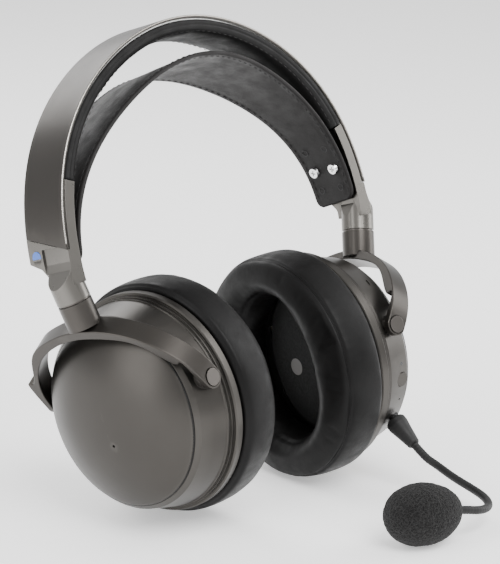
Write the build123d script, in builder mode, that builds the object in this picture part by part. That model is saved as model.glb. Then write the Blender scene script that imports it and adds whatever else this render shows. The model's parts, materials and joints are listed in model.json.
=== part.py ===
from build123d import *
import os
from math import sin, cos, tan, radians, degrees, sqrt, pi, atan2

# Wireless over-ear headset with a plug-in boom microphone.
# Units are millimetres. +Z is up, -Y is the way the wearer faces, +X is the
# wearer's left. The headset stands on the lower edge of its ear pads and on the
# microphone's windscreen, leaning back, and the origin is the centre of the
# bottom of its box.

# ------------------------------------------------------------ driving sizes
LEAN = 18.0              # the whole headset leans back by this angle
SHIFT = (0.0, 39.985, 105.112)   # headset frame's origin in the row frame

BAND_FRONT, BAND_REAR = -13.0, 13.6   # front and rear faces of the band
BAND_Y = (BAND_FRONT + BAND_REAR) / 2
BAND_W = BAND_REAR - BAND_FRONT
ARCH_Z0 = 15.5           # height of the centre that the arch is drawn about
ARCH_R = (95.10, 2.32, -0.30, 0.295)  # radius = a0 + a1 cos2t + a2 cos4t + a3 cos6t
SKIN_T = 1.3             # outer metal skin
SPRING_IN, SPRING_OUT = 2.1, 1.3      # spring strip, as depths below the skin's face
BAND_T = 6.9             # whole thickness of the band at its edges
LINER_T = 8.6            # depth of the padded liner's underside
TIP_Z = 50.8             # top of the end pieces
SEAM_Z, SEAM_TILT = 22.2, 15.7        # seam between skin and end piece, at the front
STEM_X, STEM_Y, STEM_R = 87.9, -5.4, 7.6
STEM_LEAN = 14.1         # stems lean inwards towards their lower end
SEAM_GAP = 0.45          # half of the groove at the swivel

YAW = 5.44               # rest swivel of the yokes, outer faces turned forward
PIVOT = (62.2, 2.2, -43.7)            # middle of the cup's pivot line
HOOP_TILT = 36.0         # the yoke's hoop leans outwards by this much
HOOP_L, HOOP_H = 50.4, 41.0           # half length and height of the hoop, outside
HOOP_W, HOOP_T, TONGUE_T = 10.0, 4.5, 3.4
SLEEVE_K = 12.0          # length of the yoke's sleeve below the swivel

CUP_TILT = {"left": -1.3, "right": 4.7}   # rest tilt of each cup, outer face down
PIVOT_OUT, PIVOT_UP = 13.7, 8.8           # pivot line in the cup's own frame
FLANGE_R = 50.0
PAD_R, PAD_T = 53.0, 25.0
PAD_OPEN_UP, PAD_OPEN_FR = 32.5, 25.0     # half axes of the oval opening
PIN_R, PIN_FIT = 2.0, 0.05

FOAM_C, FOAM_A, FOAM_R, FOAM_YAW = (13.1, -76.935, 13.84), 18.0, 13.8, -20.0
NECK_R = 1.9

STRAP_HOLES_Y = (BAND_Y - 6.3, BAND_Y + 6.3)
STRAP_HOLES_Z = (41.4, 31.9, 22.3)

SIDES = ("left", "right")
SG = {"left": 1.0, "right": -1.0}


# ------------------------------------------------------------ frames
class Frame:
    """An origin and three unit directions; planes are given by two directions."""

    def __init__(self, o, a, b, c):
        self.o, self.a, self.b, self.c = o, a, b, c

    def pt(self, p):
        return self.o + self.a * p[0] + self.b * p[1] + self.c * p[2]

    def dr(self, d):
        return self.a * d[0] + self.b * d[1] + self.c * d[2]

    def plane(self, o, x, y):
        xd, yd = self.dr(x), self.dr(y)
        return Plane(origin=self.pt(o), x_dir=xd, z_dir=xd.cross(yd))

    def axis(self, o, d):
        return Axis(self.pt(o), self.dr(d))


ls, lc = sin(radians(LEAN)), cos(radians(LEAN))
HF = Frame(Vector(*SHIFT), Vector(1, 0, 0), Vector(0, lc, -ls), Vector(0, ls, lc))


def outline(points):
    """Closed polygon face in the current sketch."""
    with BuildLine() as line:
        Polyline(*points, close=True)
    return make_face(line.edges())


def arch_r(t):
    a = ARCH_R
    return a[0] + a[1] * cos(2 * t) + a[2] * cos(4 * t) + a[3] * cos(6 * t)


def arch_pt(t, depth):
    """Point of the arch at angle t from the top, moved inwards by depth."""
    e = 1e-4
    p0 = (arch_r(t - e) * sin(t - e), arch_r(t - e) * cos(t - e))
    p1 = (arch_r(t + e) * sin(t + e), arch_r(t + e) * cos(t + e))
    tx, tz = p1[0] - p0[0], p1[1] - p0[1]
    n = sqrt(tx * tx + tz * tz)
    return (
        arch_r(t) * sin(t) - depth * (-tz / n),
        ARCH_Z0 + arch_r(t) * cos(t) - depth * (tx / n),
    )


def arch_t(z, depth=0.0):
    """Angle at which the arch, at this depth, has height z."""
    lo, hi = 0.0, radians(125)
    for _ in range(60):
        mid = (lo + hi) / 2
        if arch_pt(mid, depth)[1] > z:
            lo = mid
        else:
            hi = mid
    return lo


def arch_strip(t0, t1, d0, d1, n=13):
    """Closed face between two depths of the arch, from angle t0 to t1."""
    ts = [t0 + (t1 - t0) * i / (n - 1) for i in range(n)]
    out = [arch_pt(t, d0) for t in ts]
    inn = [arch_pt(t, d1) for t in ts]
    with BuildLine() as line:
        Spline(*out)
        Line(out[-1], inn[-1])
        Spline(*inn[::-1])
        Line(inn[0], out[0])
    return make_face(line.edges())


# the arch is drawn in the X-Z plane of the headset frame at the band's middle
ARCH_PLANE = HF.plane((0, BAND_Y, 0), (1, 0, 0), (0, 0, 1))
st, ct = sin(radians(SEAM_TILT)), cos(radians(SEAM_TILT))


def seam_plane(up):
    return HF.plane((0, BAND_FRONT, SEAM_Z + up), (1, 0, 0), (0, ct, st))


# ------------------------------------------------------------ headband
T_TIP = arch_t(TIP_Z, 4.0)
T_SEAM = arch_t(14.0)

with BuildPart() as headband_skin:
    with BuildSketch(ARCH_PLANE):
        arch_strip(-T_SEAM, T_SEAM, 0, SKIN_T, 25)
    extrude(amount=BAND_W / 2, both=True)
    split(bisect_by=seam_plane(0.2), keep=Keep.TOP)
headband_skin.part.label = "headband_skin"

with BuildPart() as headband_spring:
    with BuildSketch(ARCH_PLANE):
        arch_strip(-T_SEAM, T_SEAM, SPRING_OUT + 0.04, SPRING_IN - 0.06, 25)
    extrude(amount=BAND_W / 2 - 0.9, both=True)
    split(bisect_by=seam_plane(0.6), keep=Keep.TOP)
headband_spring.part.label = "headband_spring"

LINER_END = T_TIP - radians(0.35)
with BuildPart() as headband_liner:
    with BuildSketch(ARCH_PLANE):
        arch_strip(-LINER_END, LINER_END, SPRING_IN, LINER_T, 25)
    extrude(amount=BAND_W / 2, both=True)
    fillet(
        headband_liner.edges().filter_by(lambda e: e.length > 100).sort_by(
            lambda e: e.length
        )[:2],
        radius=3.0,
    )
    # channel for the ribbon cable that links the two cups
    with BuildSketch(ARCH_PLANE):
        arch_strip(-LINER_END - 0.02, LINER_END + 0.02, SPRING_IN - 0.1, SPRING_IN + 0.9, 25)
    extrude(amount=2.0, both=True, mode=Mode.SUBTRACT)
headband_liner.part.label = "headband_liner"

with BuildPart() as link_cable:
    with BuildSketch(ARCH_PLANE):
        arch_strip(-LINER_END, LINER_END, SPRING_IN + 0.1, SPRING_IN + 0.7, 25)
    extrude(amount=1.7, both=True)
link_cable.part.label = "link_cable"


def stem_frame(side):
    """Frame on the stem's axis at the swivel groove: out, back, up the stem."""
    s, k = SG[side], radians(STEM_LEAN)
    up = HF.dr((s * sin(k), 0, cos(k)))
    out = HF.dr((s * cos(k), 0, -sin(k)))
    return Frame(HF.pt((s * STEM_X, STEM_Y, 0)), out, HF.dr((0, 1, 0)), up)


STEM = {s: stem_frame(s) for s in SIDES}


# ------------------------------------------------------------ suspension strap
STRAP_R = (79.72, -3.12, 1.26, 0.26)
STRAP_T = 2.0
STRAP_TILT = 5.0         # its rear edge lies lower than its front edge
STRAP_MID_FRONT, STRAP_MID_REAR = -22.6, 24.2


def strap_r(t):
    a = STRAP_R
    return a[0] + a[1] * cos(2 * t) + a[2] * cos(4 * t) + a[3] * cos(6 * t)


def strap_pt(t, depth):
    e = 1e-4
    p0 = (strap_r(t - e) * sin(t - e), strap_r(t - e) * cos(t - e))
    p1 = (strap_r(t + e) * sin(t + e), strap_r(t + e) * cos(t + e))
    tx, tz = p1[0] - p0[0], p1[1] - p0[1]
    n = sqrt(tx * tx + tz * tz)
    return (
        strap_r(t) * sin(t) + depth * (tz / n),
        ARCH_Z0 + strap_r(t) * cos(t) - depth * (tx / n),
    )


def strap_seat(side, y, z):
    """Point on the strap's head side at this place of an end, and the way outwards."""
    zp = z + (y - STRAP_MID_FRONT) * tan(radians(STRAP_TILT))
    lo, hi = 0.0, radians(95)
    for _ in range(60):
        mid = (lo + hi) / 2
        if strap_pt(mid, 0)[1] > zp:
            lo = mid
        else:
            hi = mid
    a, b = strap_pt(lo, STRAP_T / 2), strap_pt(lo, -STRAP_T / 2)
    dx, dz = (b[0] - a[0]) / STRAP_T, (b[1] - a[1]) / STRAP_T
    return (SG[side] * a[0], y, a[1] - (zp - z)), (SG[side] * dx, 0, dz)


def seat_plane(side, y, z, back):
    """Plane across the strap's normal, moved towards the head by back."""
    p, d = strap_seat(side, y, z)
    o = (p[0] - d[0] * back, p[1], p[2] - d[2] * back)
    return HF.plane(o, (0, 1, 0), (-d[2] * SG[side], 0, d[0] * SG[side])), HF.dr(d)


def make_end_piece(side):
    s = SG[side]
    sf = STEM[side]
    t_tip, t_top, t_bot = T_TIP, arch_t(33.0), arch_t(7.0)
    with BuildPart() as end_piece:
        # face plate, flush with the skin, below the seam
        with BuildSketch(ARCH_PLANE):
            arch_strip(s * t_bot, s * t_top, 0, 3.0, 7)
        extrude(amount=BAND_W / 2, both=True)
        split(bisect_by=seam_plane(-0.1), keep=Keep.BOTTOM)
        # bar that lies under the skin and reaches up to the liner
        with BuildSketch(ARCH_PLANE):
            arch_strip(s * t_bot, s * t_tip, SPRING_IN, BAND_T, 13)
        extrude(amount=BAND_W / 2, both=True)
        # rear lower corner is cut away in a step down to the stem
        with BuildSketch(HF.plane((s * 88, 0, 0), (0, 1, 0), (0, 0, 1))):
            with BuildLine():
                FilletPolyline(
                    (20, 21.2), (BAND_REAR + 0.4, 18.9), (6.2, 15.6), (2.6, 11.5),
                    (2.3, -8), (20, -8),
                    radius=[0.01, 1.6, 3.0, 0.01], close=False,
                )
                Line((20, -8), (20, 21.2))
            make_face()
        extrude(amount=14, both=True, mode=Mode.SUBTRACT)
        # round stem
        with BuildSketch(sf.plane((0, 0, SEAM_GAP), (1, 0, 0), (0, 1, 0))):
            Circle(STEM_R)
        extrude(amount=17.0, dir=sf.dr((0, 0, 1)))
        # oblique facets: outer scoop and inner scoop
        with BuildSketch(HF.plane((0, STEM_Y, 0), (1, 0, 0), (0, 0, 1))):
            outline([(s * 97.3, 6.0), (s * 92.1, 13.3), (s * 91.45, 17.0),
                     (s * 91.2, 24.0), (s * 106, 24.0), (s * 106, 6.0)])
        extrude(amount=9.5, both=True, mode=Mode.SUBTRACT)
        with BuildSketch(HF.plane((0, STEM_Y, 0), (1, 0, 0), (0, 0, 1))):
            outline([(s * 81.9, 8.0), (s * 84.9, 13.8), (s * 84.6, 24.0),
                     (s * 74, 24.0), (s * 74, 8.0)])
        extrude(amount=9.5, both=True, mode=Mode.SUBTRACT)
        # blind bore for the swivel pin
        with BuildSketch(sf.plane((0, 0, SEAM_GAP), (1, 0, 0), (0, 1, 0))):
            Circle(3.0)
        extrude(amount=9.0, dir=sf.dr((0, 0, 1)), mode=Mode.SUBTRACT)
        # shallow seat for the round marker
        with BuildSketch(marker_plane(side)):
            Circle(3.1)
        extrude(amount=0.6, dir=HF.dr((-s, 0, 0)), mode=Mode.SUBTRACT)
        # tapped holes for the strap screws
        for y in STRAP_HOLES_Y:
            plane, out = seat_plane(side, y, STRAP_HOLES_Z[1], 0)
            with BuildSketch(plane):
                Circle(1.25)
            extrude(amount=8.0, dir=out, mode=Mode.SUBTRACT)
    return end_piece


def marker_plane(side):
    s = SG[side]
    # on the face plate's outer side, just below the seam
    return HF.plane((s * (arch_pt(arch_t(20.5), 0)[0] + 0.0), 8.3, 20.9), (0, 1, 0), (0, 0, 1))


end_pieces = {s: make_end_piece(s) for s in SIDES}
end_piece_left, end_piece_right = end_pieces["left"], end_pieces["right"]
end_piece_left.part.label = "end_piece_left"
end_piece_right.part.label = "end_piece_right"

with BuildPart() as end_markers:
    for side in SIDES:
        with BuildSketch(marker_plane(side)):
            Circle(3.0)
        extrude(amount=0.55, dir=HF.dr((-SG[side], 0, 0)))
end_markers.part.label = "end_markers"


ts_, tc_ = sin(radians(STRAP_TILT)), cos(radians(STRAP_TILT))
STRAP_END = radians(90.5)
with BuildPart() as suspension_strap:
    with BuildSketch(HF.plane((0, STRAP_MID_FRONT, 0), (1, 0, 0), (0, ts_, tc_))):
        ts = [-STRAP_END + 2 * STRAP_END * i / 24 for i in range(25)]
        out = [strap_pt(t, -STRAP_T / 2) for t in ts]
        inn = [strap_pt(t, STRAP_T / 2) for t in ts]
        with BuildLine():
            Spline(*out)
            Line(out[-1], inn[-1])
            Spline(*inn[::-1])
            Line(inn[0], out[0])
        make_face()
    extrude(amount=60, both=True)
    # outline of the strap seen from above, wider in the middle
    front = [(84.6, -12.4), (77.5, -13.5), (70.1, -14.75), (55.5, -17.2),
             (38.6, -19.8), (20.1, -21.8), (0, STRAP_MID_FRONT)]
    rear = [(84.6, 13.0), (77.5, 14.1), (70.1, 15.5), (55.5, 18.2),
            (38.6, 21.1), (20.1, 23.3), (0, STRAP_MID_REAR)]
    with BuildSketch(HF.plane((0, 0, 0), (1, 0, 0), (0, 1, 0))):
        with BuildLine():
            fr = front + [(-x, y) for x, y in front[-2::-1]]
            rr = rear + [(-x, y) for x, y in rear[-2::-1]]
            Spline(*fr)
            Line(fr[-1], rr[-1])
            Spline(*rr[::-1])
            Line(rr[0], fr[0])
        make_face()
    extrude(amount=130, both=True, mode=Mode.INTERSECT)
    # the ends: rounded lower corners, and three rows of two adjusting holes
    for side in SIDES:
        s = SG[side]
        with BuildSketch(HF.plane((s * 80, BAND_Y, 20), (0, 1, 0), (0, 0, 1))):
            with Locations((0, -20)):
                Rectangle(80, 40)
            with Locations((0, 5)):
                RectangleRounded(25.4, 20, 4.5, mode=Mode.SUBTRACT)
            with Locations((0, 10)):
                Rectangle(25.4, 14, mode=Mode.SUBTRACT)
        extrude(amount=12, both=True, mode=Mode.SUBTRACT)
        for z in STRAP_HOLES_Z:
            for y in STRAP_HOLES_Y:
                plane, out = seat_plane(side, y, z, 2)
                with BuildSketch(plane):
                    Circle(1.7)
                extrude(amount=6, dir=out, mode=Mode.SUBTRACT)
suspension_strap.part.label = "suspension_strap"


# plates that fill the space between the strap's ends and the end pieces
with BuildPart() as strap_plates:
    for side in SIDES:
        s = SG[side]
        zs = [18.0, 22.0, 26.0, 30.0, 34.0, 37.0]
        sx = [(s * (strap_seat(side, BAND_Y, z)[0][0] * s + STRAP_T / 2), z) for z in zs]
        ex = [(s * (arch_pt(arch_t(z, BAND_T), BAND_T)[0] + 0.8), z) for z in zs]
        with BuildSketch(ARCH_PLANE):
            with BuildLine():
                Spline(*sx)
                Line(sx[-1], ex[-1])
                Spline(*ex[::-1])
                Line(ex[0], sx[0])
            make_face()
        extrude(amount=10.5, both=True)
    add(suspension_strap.part, mode=Mode.SUBTRACT)
    add(end_piece_left.part, mode=Mode.SUBTRACT)
    add(end_piece_right.part, mode=Mode.SUBTRACT)
    for side in SIDES:
        for y in STRAP_HOLES_Y:
            plane, out = seat_plane(side, y, STRAP_HOLES_Z[1], 0)
            with BuildSketch(plane):
                Circle(1.4)
            extrude(amount=12, dir=out, mode=Mode.SUBTRACT)
strap_plates.part.label = "strap_plates"

# cross-recess pan-head screws, one pair at each end of the strap
with BuildPart() as strap_screws:
    for side in SIDES:
        for y in STRAP_HOLES_Y:
            plane, out = seat_plane(side, y, STRAP_HOLES_Z[1], 0.05)
            with BuildSketch(plane):
                Circle(1.2)
            extrude(amount=7.0, dir=out)
            with BuildSketch(plane):
                Circle(2.85)
            extrude(amount=1.4, dir=out * -1, taper=18)
            plane, out = seat_plane(side, y, STRAP_HOLES_Z[1], 1.5)
            with BuildSketch(plane):
                Rectangle(2.8, 0.75, rotation=20)
                Rectangle(0.75, 2.8, rotation=20)
            extrude(amount=0.95, dir=out, mode=Mode.SUBTRACT)
strap_screws.part.label = "strap_screws"


# ------------------------------------------------------------ swivels
with BuildPart() as swivel_pins:
    for side in SIDES:
        sf = STEM[side]
        with BuildSketch(sf.plane((0, 0, -8.0), (1, 0, 0), (0, 1, 0))):
            Circle(3.0)
        extrude(amount=8.0 + 9.3, dir=sf.dr((0, 0, 1)))
swivel_pins.part.label = "swivel_pins"

with BuildPart() as swivel_washers:
    for side in SIDES:
        sf = STEM[side]
        with BuildSketch(sf.plane((0, 0, -SEAM_GAP + 0.04), (1, 0, 0), (0, 1, 0))):
            Circle(STEM_R - 0.7)
            Circle(3.0, mode=Mode.SUBTRACT)
        extrude(amount=2 * SEAM_GAP - 0.04, dir=sf.dr((0, 0, 1)))
swivel_washers.part.label = "swivel_washers"


# ------------------------------------------------------------ yokes
def yoke_frame(side):
    """Middle of the pivot line: front along the line, up the hoop, hoop's normal."""
    s, p, h = SG[side], radians(YAW), radians(HOOP_TILT)
    out = (s * cos(p), -sin(p), 0)
    fr = (-s * sin(p), -cos(p), 0)
    w = (sin(h) * out[0], sin(h) * out[1], cos(h))
    n = (cos(h) * out[0], cos(h) * out[1], -sin(h))
    return Frame(HF.pt((s * PIVOT[0], PIVOT[1], PIVOT[2])), HF.dr(fr), HF.dr(w), HF.dr(n))


YOKE = {s: yoke_frame(s) for s in SIDES}


def hoop_points(inset):
    """Hoop outline from the front end, over the top, to the rear end."""
    pts = []
    n = 9
    for i in range(n):
        a = pi * i / (n - 1)
        c, s = cos(a), sin(a)
        f = inset * (TONGUE_T + (HOOP_T - TONGUE_T) * s)
        nx, ny = HOOP_H * c, HOOP_L * s
        m = sqrt(nx * nx + ny * ny)
        pts.append((HOOP_L * c - f * nx / m, HOOP_H * s - f * ny / m))
    return pts


def make_yoke(side):
    yf, sf = YOKE[side], STEM[side]
    outer, inner = hoop_points(0), hoop_points(1)
    with BuildPart() as yoke:
        with BuildSketch(yf.plane((0, 0, 0), (1, 0, 0), (0, 1, 0))):
            with BuildLine():
                Line((outer[0][0], -6), outer[0])
                Spline(*outer, tangents=((0, 1), (0, -1)))
                Line(outer[-1], (outer[-1][0], -6))
                Line((outer[-1][0], -6), (inner[-1][0], -6))
                Line((inner[-1][0], -6), inner[-1])
                Spline(*inner[::-1], tangents=((0, 1), (0, -1)))
                Line(inner[0], (inner[0][0], -6))
                Line((inner[0][0], -6), (outer[0][0], -6))
            make_face()
        extrude(amount=HOOP_W / 2, both=True)
        # soften the hoop's long edges
        fillet(yoke.edges().filter_by(lambda e: e.length > 90), radius=0.5)
        # full-round tongues about the pivot line
        with BuildSketch(yf.plane((0, 0, 0), (0, 0, 1), (0, 1, 0))):
            Circle(HOOP_W / 2)
            with Locations((0, 35)):
                Rectangle(HOOP_W, 70)
        extrude(amount=70, both=True, mode=Mode.INTERSECT)
        # sleeve that turns on the swivel pin
        with BuildSketch(sf.plane((0, 0, -SEAM_GAP), (1, 0, 0), (0, 1, 0))):
            Circle(STEM_R)
        extrude(amount=SLEEVE_K - SEAM_GAP, dir=sf.dr((0, 0, -1)))
        # bore for the bush
        with BuildSketch(sf.plane((0, 0, -SEAM_GAP), (1, 0, 0), (0, 1, 0))):
            Circle(4.2)
        extrude(amount=8.2, dir=sf.dr((0, 0, -1)), mode=Mode.SUBTRACT)
        # seats for the pivot pins and their caps
        for e in (1, -1):
            with BuildSketch(yf.plane((e * (HOOP_L + 1), 0, 0), (0, 1, 0), (0, 0, 1))):
                Circle(4.2)
            extrude(amount=1.9, dir=yf.dr((-e, 0, 0)), mode=Mode.SUBTRACT)
            with BuildSketch(yf.plane((e * (HOOP_L + 1), 0, 0), (0, 1, 0), (0, 0, 1))):
                Circle(PIN_R)
            extrude(amount=8, dir=yf.dr((-e, 0, 0)), mode=Mode.SUBTRACT)
    return yoke


yokes = {s: make_yoke(s) for s in SIDES}
yoke_left, yoke_right = yokes["left"], yokes["right"]
yoke_left.part.label = "yoke_left"
yoke_right.part.label = "yoke_right"


def make_swivel_bush(side):
    sf = STEM[side]
    with BuildPart() as swivel_bush:
        with BuildSketch(sf.plane((0, 0, -SEAM_GAP - 0.1), (1, 0, 0), (0, 1, 0))):
            Circle(4.2)
            Circle(3.0 + PIN_FIT, mode=Mode.SUBTRACT)
        extrude(amount=8.0, dir=sf.dr((0, 0, -1)))
    return swivel_bush


def make_pivot_pins(side):
    yf = YOKE[side]
    with BuildPart() as pivot_pins:
        for e in (1, -1):
            with BuildSketch(yf.plane((e * (HOOP_L + 0.35), 0, 0), (0, 1, 0), (0, 0, 1))):
                Circle(3.85)
            extrude(amount=1.25, dir=yf.dr((-e, 0, 0)))
            with BuildSketch(yf.plane((e * (HOOP_L - 0.5), 0, 0), (0, 1, 0), (0, 0, 1))):
                Circle(PIN_R)
            extrude(amount=9.2, dir=yf.dr((-e, 0, 0)))
    return pivot_pins


swivel_bush_left, swivel_bush_right = (make_swivel_bush(s) for s in SIDES)
swivel_bush_left.part.label = "swivel_bush_left"
swivel_bush_right.part.label = "swivel_bush_right"
pivot_pins_left, pivot_pins_right = (make_pivot_pins(s) for s in SIDES)
pivot_pins_left.part.label = "pivot_pins_left"
pivot_pins_right.part.label = "pivot_pins_right"


# ------------------------------------------------------------ ear cups
def cup_frame(side):
    """Centre of the flange's pad side: front, up, out along the cup's axis."""
    s, p, t = SG[side], radians(YAW), radians(CUP_TILT[side])
    out = Vector(s * cos(p), -sin(p), 0)
    fr = Vector(-s * sin(p), -cos(p), 0)
    z = Vector(0, 0, 1)
    n = out * cos(t) - z * sin(t)
    u = z * cos(t) + out * sin(t)
    o = Vector(s * PIVOT[0], PIVOT[1], PIVOT[2]) - n * PIVOT_OUT - u * PIVOT_UP
    d = lambda v: HF.dr((v.X, v.Y, v.Z))
    return Frame(HF.pt((o.X, o.Y, o.Z)), d(fr), d(u), d(n))


CUP = {s: cup_frame(s) for s in SIDES}


def cup_profile_plane(side):
    """Radius up the page's x, distance outwards along its y."""
    return CUP[side].plane((0, 0, 0), (0, 1, 0), (0, 0, 1))


def cup_axis(side):
    return CUP[side].axis((0, 0, 0), (0, 0, 1))


def radial_frame(side, deg, out):
    """Frame on the cup's axis: outwards at an angle above the front, tangent, axis."""
    cf, a = CUP[side], radians(deg)
    return Frame(cf.pt((0, 0, out)), cf.dr((cos(a), sin(a), 0)),
                 cf.dr((-sin(a), cos(a), 0)), cf.dr((0, 0, 1)))


LED_DEG, BUTTON_DEG, PINHOLE_DEG, MIC_DEG, USB_DEG, JACK_DEG = -12.5, -22.3, -35.4, -50.2, -68.0, -84.0
WHEEL_DEG, MUTE_DEG = 205.0, 232.0
CTRL_OUT = 16.2
WALL_R = 45.03           # outside radius of the side wall at CTRL_OUT


def make_housing(side):
    cf = CUP[side]
    with BuildPart() as cup_housing:
        with BuildSketch(cup_profile_plane(side)):
            outline([
                (44.2, 0), (49.4, 0), (50.0, 0.6), (50.0, 3.9), (49.4, 4.5),
                (48.5, 4.5), (48.5, 6.1), (47.8, 6.1), (47.8, 7.6), (47.2, 7.8),
                (43.9, 20.6), (42.0, 22.6), (41.2, 22.6), (41.2, 21.4), (38.6, 21.4),
                (38.6, 20.0), (41.9, 20.0), (45.2, 7.2), (45.2, 2.4), (44.2, 2.4),
            ])
        revolve(axis=cup_axis(side))
        # bosses for the pivot bushes, front and rear
        for e in (1, -1):
            with BuildSketch(cf.plane((e * 46.2, PIVOT_UP, PIVOT_OUT), (0, 1, 0), (0, 0, 1))):
                Circle(4.4)
            extrude(amount=7.2, dir=cf.dr((-e, 0, 0)))
            with BuildSketch(cf.plane((e * 47.5, PIVOT_UP, PIVOT_OUT), (0, 1, 0), (0, 0, 1))):
                Circle(3.3)
            extrude(amount=9.5, dir=cf.dr((-e, 0, 0)), mode=Mode.SUBTRACT)
        if side == "left":
            # button, light and pin-hole openings, and the turned seats of the two sockets
            for deg, r in ((BUTTON_DEG, 3.5), (LED_DEG, 0.9), (PINHOLE_DEG, 0.55),
                           (MIC_DEG, 3.4), (JACK_DEG, 3.4)):
                rf = radial_frame(side, deg, CTRL_OUT)
                with BuildSketch(rf.plane((50, 0, 0), (0, 1, 0), (0, 0, 1))):
                    Circle(r)
                extrude(amount=9, dir=rf.dr((-1, 0, 0)), mode=Mode.SUBTRACT)
            rf = radial_frame(side, USB_DEG, CTRL_OUT)
            with BuildSketch(rf.plane((50, 0, 0), (0, 1, 0), (0, 0, 1))):
                SlotOverall(9.8, 4.0)
            extrude(amount=9, dir=rf.dr((-1, 0, 0)), mode=Mode.SUBTRACT)
            # slots for the volume wheel and the mute slider
            rf = radial_frame(side, WHEEL_DEG, CTRL_OUT)
            with BuildSketch(rf.plane((50, 0, 0), (0, 1, 0), (0, 0, 1))):
                Rectangle(14.0, 4.0)
            extrude(amount=9, dir=rf.dr((-1, 0, 0)), mode=Mode.SUBTRACT)
            rf = radial_frame(side, MUTE_DEG, CTRL_OUT)
            with BuildSketch(rf.plane((50, 0, 0), (0, 1, 0), (0, 0, 1))):
                Rectangle(7.4, 2.8)
            extrude(amount=9, dir=rf.dr((-1, 0, 0)), mode=Mode.SUBTRACT)
        # small vent notch at the top front
        rf = radial_frame(side, 41.0, CTRL_OUT)
        with BuildSketch(rf.plane((50, 0, 0), (0, 1, 0), (0, 0, 1))):
            SlotOverall(3.2, 1.0)
        extrude(amount=9, dir=rf.dr((-1, 0, 0)), mode=Mode.SUBTRACT)
    return cup_housing


def make_cover(side):
    cf = CUP[side]
    with BuildPart() as cup_cover:
        with BuildSketch(cup_profile_plane(side)):
            with BuildLine():
                Spline((0, 34.6), (15, 33.6), (27.5, 30.7), (36, 27.0), (40.0, 24.6), (41.5, 23.3),
                       tangents=((1, 0), (0.75, -0.9)))
                Polyline((41.5, 23.3), (40.9, 23.3), (40.9, 21.5), (38.8, 21.5), (38.8, 23.4))
                Spline((38.8, 23.4), (34.8, 25.6), (26.5, 29.2), (14.5, 31.8), (0, 32.8),
                       tangents=((-0.9, 0.5), (-1, 0)))
                Line((0, 32.8), (0, 34.6))
            make_face()
        revolve(axis=cup_axis(side))
        with BuildSketch(cf.plane((1.5, -11.2, 40), (1, 0, 0), (0, 1, 0))):
            Circle(0.65)
        extrude(amount=14, dir=cf.dr((0, 0, -1)), mode=Mode.SUBTRACT)
    return cup_cover


def ring(side, r1, r2, h1, h2):
    with BuildPart() as body:
        with BuildSketch(CUP[side].plane((0, 0, h1), (1, 0, 0), (0, 1, 0))):
            Circle(r2)
            if r1 > 0:
                Circle(r1, mode=Mode.SUBTRACT)
        extrude(amount=h2 - h1, dir=CUP[side].dr((0, 0, 1)))
    return body


def make_baffle(side):
    cf = CUP[side]
    with BuildPart() as baffle:
        with BuildSketch(cf.plane((0, 0, 2.45), (1, 0, 0), (0, 1, 0))):
            Circle(45.1)
            Circle(36.0, mode=Mode.SUBTRACT)
            with PolarLocations(40.5, 4, start_angle=45):
                Circle(1.3, mode=Mode.SUBTRACT)
        extrude(amount=1.6, dir=cf.dr((0, 0, 1)))
    return baffle


def make_driver_frame(side):
    with BuildPart() as driver_frame:
        with BuildSketch(cup_profile_plane(side)):
            outline([(36.5, 4.1), (38.6, 4.1), (38.6, 9.0), (33.0, 9.0), (33.0, 8.0),
                     (37.4, 8.0), (37.4, 5.9), (36.5, 5.9)])
        revolve(axis=cup_axis(side))
        with BuildSketch(CUP[side].plane((0, 0, 8.0), (1, 0, 0), (0, 1, 0))):
            Rectangle(6, 68)
        extrude(amount=1.0, dir=CUP[side].dr((0, 0, 1)))
    return driver_frame


def make_magnets(side):
    cf = CUP[side]
    with BuildPart() as driver_magnets:
        with BuildSketch(cf.plane((0, 0, 6.1), (1, 0, 0), (0, 1, 0))):
            for x, l in ((-24, 48), (-16, 60), (-8, 68), (0, 70), (8, 68), (16, 60), (24, 48)):
                with Locations((x, 0)):
                    Rectangle(3.4, l)
        extrude(amount=1.8, dir=cf.dr((0, 0, 1)))
    return driver_magnets


def make_grille(side):
    cf = CUP[side]
    with BuildPart() as driver_grille:
        with BuildSketch(cf.plane((0, 0, 2.5), (1, 0, 0), (0, 1, 0))):
            Circle(35.9)
            for i in range(-4, 5):
                l = 2 * sqrt(33.0 ** 2 - (i * 7) ** 2)
                with Locations((i * 7, 0)):
                    SlotOverall(l, 3.6, rotation=90, mode=Mode.SUBTRACT)
        extrude(amount=1.2, dir=cf.dr((0, 0, 1)))
    return driver_grille


def make_pad(side):
    cf = CUP[side]
    with BuildPart() as ear_pad:
        with BuildSketch(cup_profile_plane(side)):
            with BuildLine():
                Polyline((0, -1.9), (48.9, -1.9), (48.9, -0.35))
                Spline((48.9, -0.35), (51.4, -4.5), (PAD_R, -13.0), (52.0, -20.0),
                       (48.5, -24.0), (43.0, -PAD_T), tangents=((1, -1), (-1, 0)))
                Polyline((43.0, -PAD_T), (0, -PAD_T), (0, -1.9))
            make_face()
        revolve(axis=cup_axis(side))
        with BuildSketch(cf.plane((0, 0, -PAD_T - 1), (1, 0, 0), (0, 1, 0))):
            Ellipse(PAD_OPEN_FR, PAD_OPEN_UP)
        extrude(amount=PAD_T + 2, dir=cf.dr((0, 0, 1)), mode=Mode.SUBTRACT)
        # the opening flares at the face
        with BuildSketch(cf.plane((0, 0, -PAD_T - 0.01), (1, 0, 0), (0, 1, 0))) as s1:
            Ellipse(PAD_OPEN_FR + 5, PAD_OPEN_UP + 5)
        with BuildSketch(cf.plane((0, 0, -PAD_T + 5), (1, 0, 0), (0, 1, 0))) as s2:
            Ellipse(PAD_OPEN_FR, PAD_OPEN_UP)
        loft(sections=[s1.sketch, s2.sketch], mode=Mode.SUBTRACT)
    return ear_pad


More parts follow.
